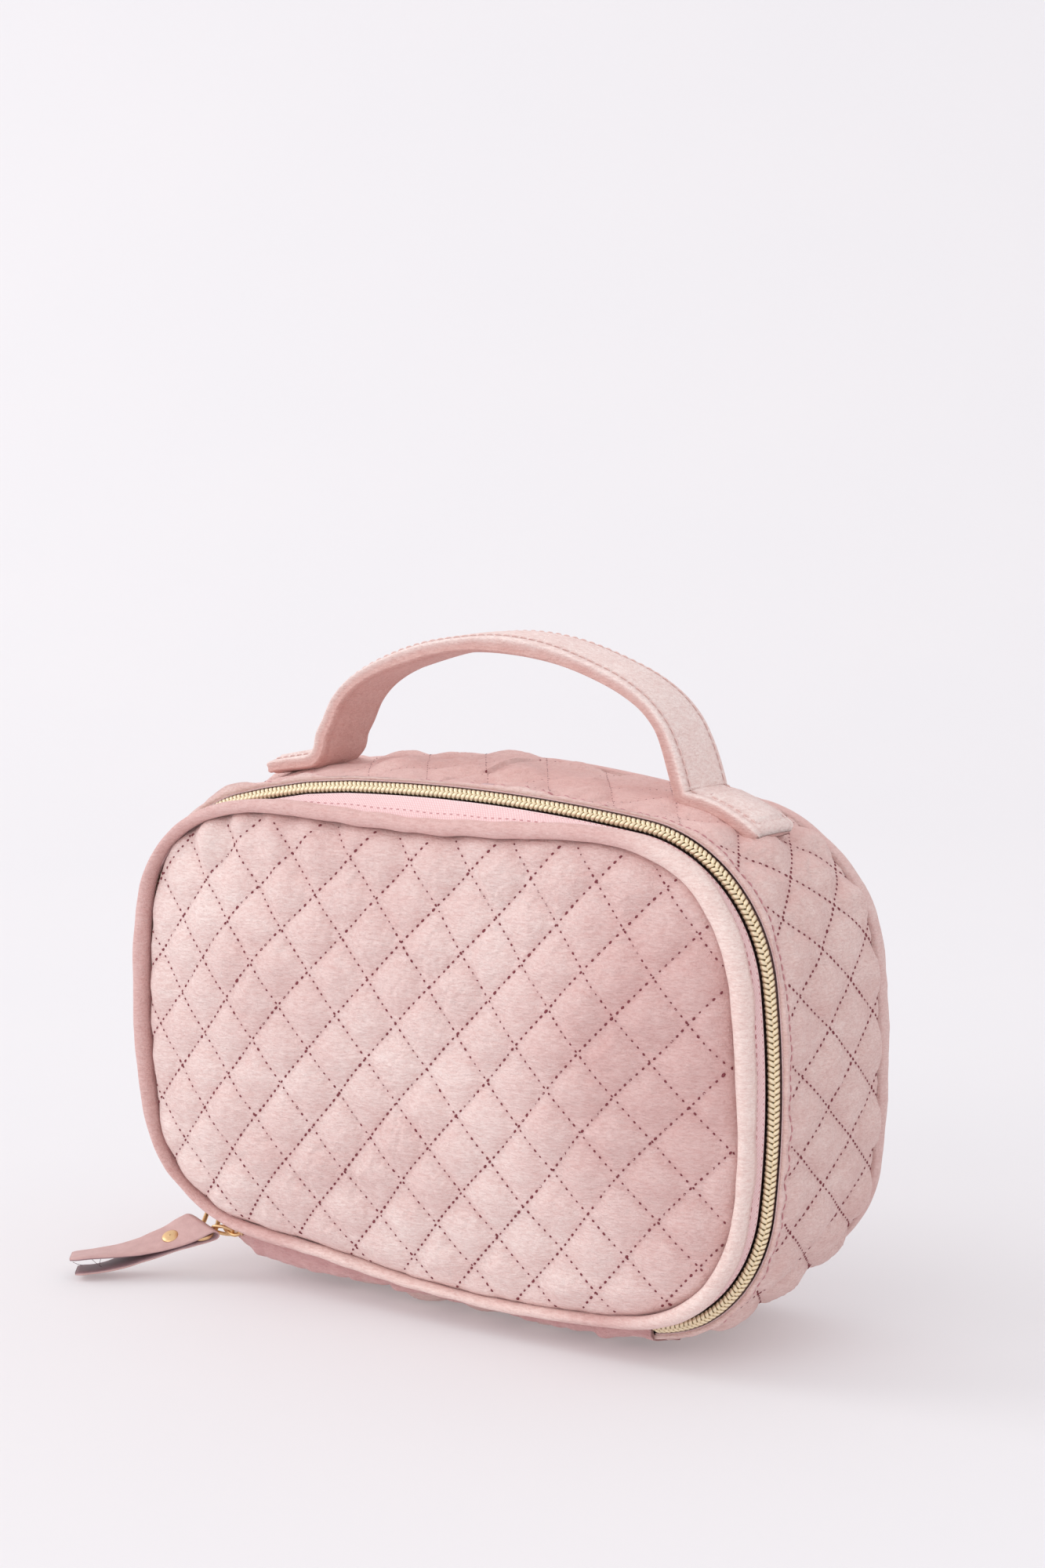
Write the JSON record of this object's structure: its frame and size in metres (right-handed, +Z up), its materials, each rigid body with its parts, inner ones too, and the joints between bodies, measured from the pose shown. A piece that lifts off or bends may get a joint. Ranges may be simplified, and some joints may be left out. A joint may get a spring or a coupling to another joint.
{
  "type": "makeup bag",
  "caption": "Quilted clamshell cosmetic case with a front lid closed by a zip, a carry handle on top and a leather zip pull.",
  "frame": {"origin": "on the table under the middle of the closed bag, midway between its ends and 34 mm behind the plane of the zip", "axes": "+Z up, -Y out of the lid, +X to the right as the lid is seen from the front"},
  "size_m": [0.2439, 0.1057, 0.1949],
  "materials": {
    "velvet": "soft short-pile velvet",
    "wadding": "lofted polyester wadding",
    "lining": "plain woven lining",
    "binding": "ribbed binding tape",
    "zip_tape": "twill zip tape",
    "zip_coil": "metallised gold coil",
    "thread": "sewing thread",
    "piping_cord": "twisted cotton cord",
    "webbing": "flat webbing",
    "gold_metal": "polished plated",
    "leather": "coated split leather"
  },
  "bodies": {
    "body": {"gusset_velvet": "velvet", "gusset_wadding": "wadding", "gusset_lining": "lining", "back_velvet": "velvet", "back_wadding": "wadding", "back_lining": "lining", "back_seam_binding": "binding", "body_zip_tape": "zip_tape", "body_zip_coil": "zip_coil", "hinge_strip": "velvet", "hinge_lining": "lining", "handle_tab_left": "velvet", "handle_tab_right": "velvet", "handle_box_stitches": "thread"},
    "lid": {"lid_velvet": "velvet", "lid_wadding": "wadding", "lid_lining": "lining", "lid_piping": "velvet", "lid_piping_cord": "piping_cord", "lid_zip_tape": "zip_tape", "lid_zip_coil": "zip_coil", "lid_seam_binding": "binding"},
    "handle": {"handle_strap": "velvet", "handle_core": "webbing"},
    "slider": {"slider_body": "gold_metal"},
    "link": {"puller_link": "gold_metal"},
    "ring": {"pull_ring": "gold_metal"},
    "pull": {"pull_strap": "leather", "rivet_cap": "gold_metal", "rivet_post": "gold_metal"}
  },
  "joints": [
    {"name": "lid_hinge", "type": "hinge", "parent": "body", "child": "lid", "pos_m": [0, -0.033, 0.0055], "axis": [1, 0, 0], "range_deg": [0, 90]},
    {"name": "handle_fold", "type": "hinge", "parent": "body", "child": "handle", "pos_m": [0, -0.004, 0.167], "axis": [1, 0, 0], "range_deg": [-60, 60]},
    {"name": "slider_travel", "type": "hinge", "parent": "lid", "child": "slider", "pos_m": [-0.05126, 0, 0.06805], "axis": [0, 1, 0], "range_deg": [0, 50]},
    {"name": "link_swing", "type": "hinge", "parent": "slider", "child": "link", "pos_m": [-0.07743, -0.03633, 0.00928], "axis": [-0.2876, 0.7071, -0.646], "range_deg": [-40, 4]},
    {"name": "ring_swing", "type": "hinge", "parent": "link", "child": "ring", "pos_m": [-0.08251, -0.03866, 0.00899], "axis": [0.395, -0.8102, -0.4331], "range_deg": [-12, 12]},
    {"name": "pull_swing", "type": "hinge", "parent": "ring", "child": "pull", "pos_m": [-0.08742, -0.04091, 0.00872], "axis": [0.395, -0.8102, -0.4331], "range_deg": [-30, 30]}
  ]
}
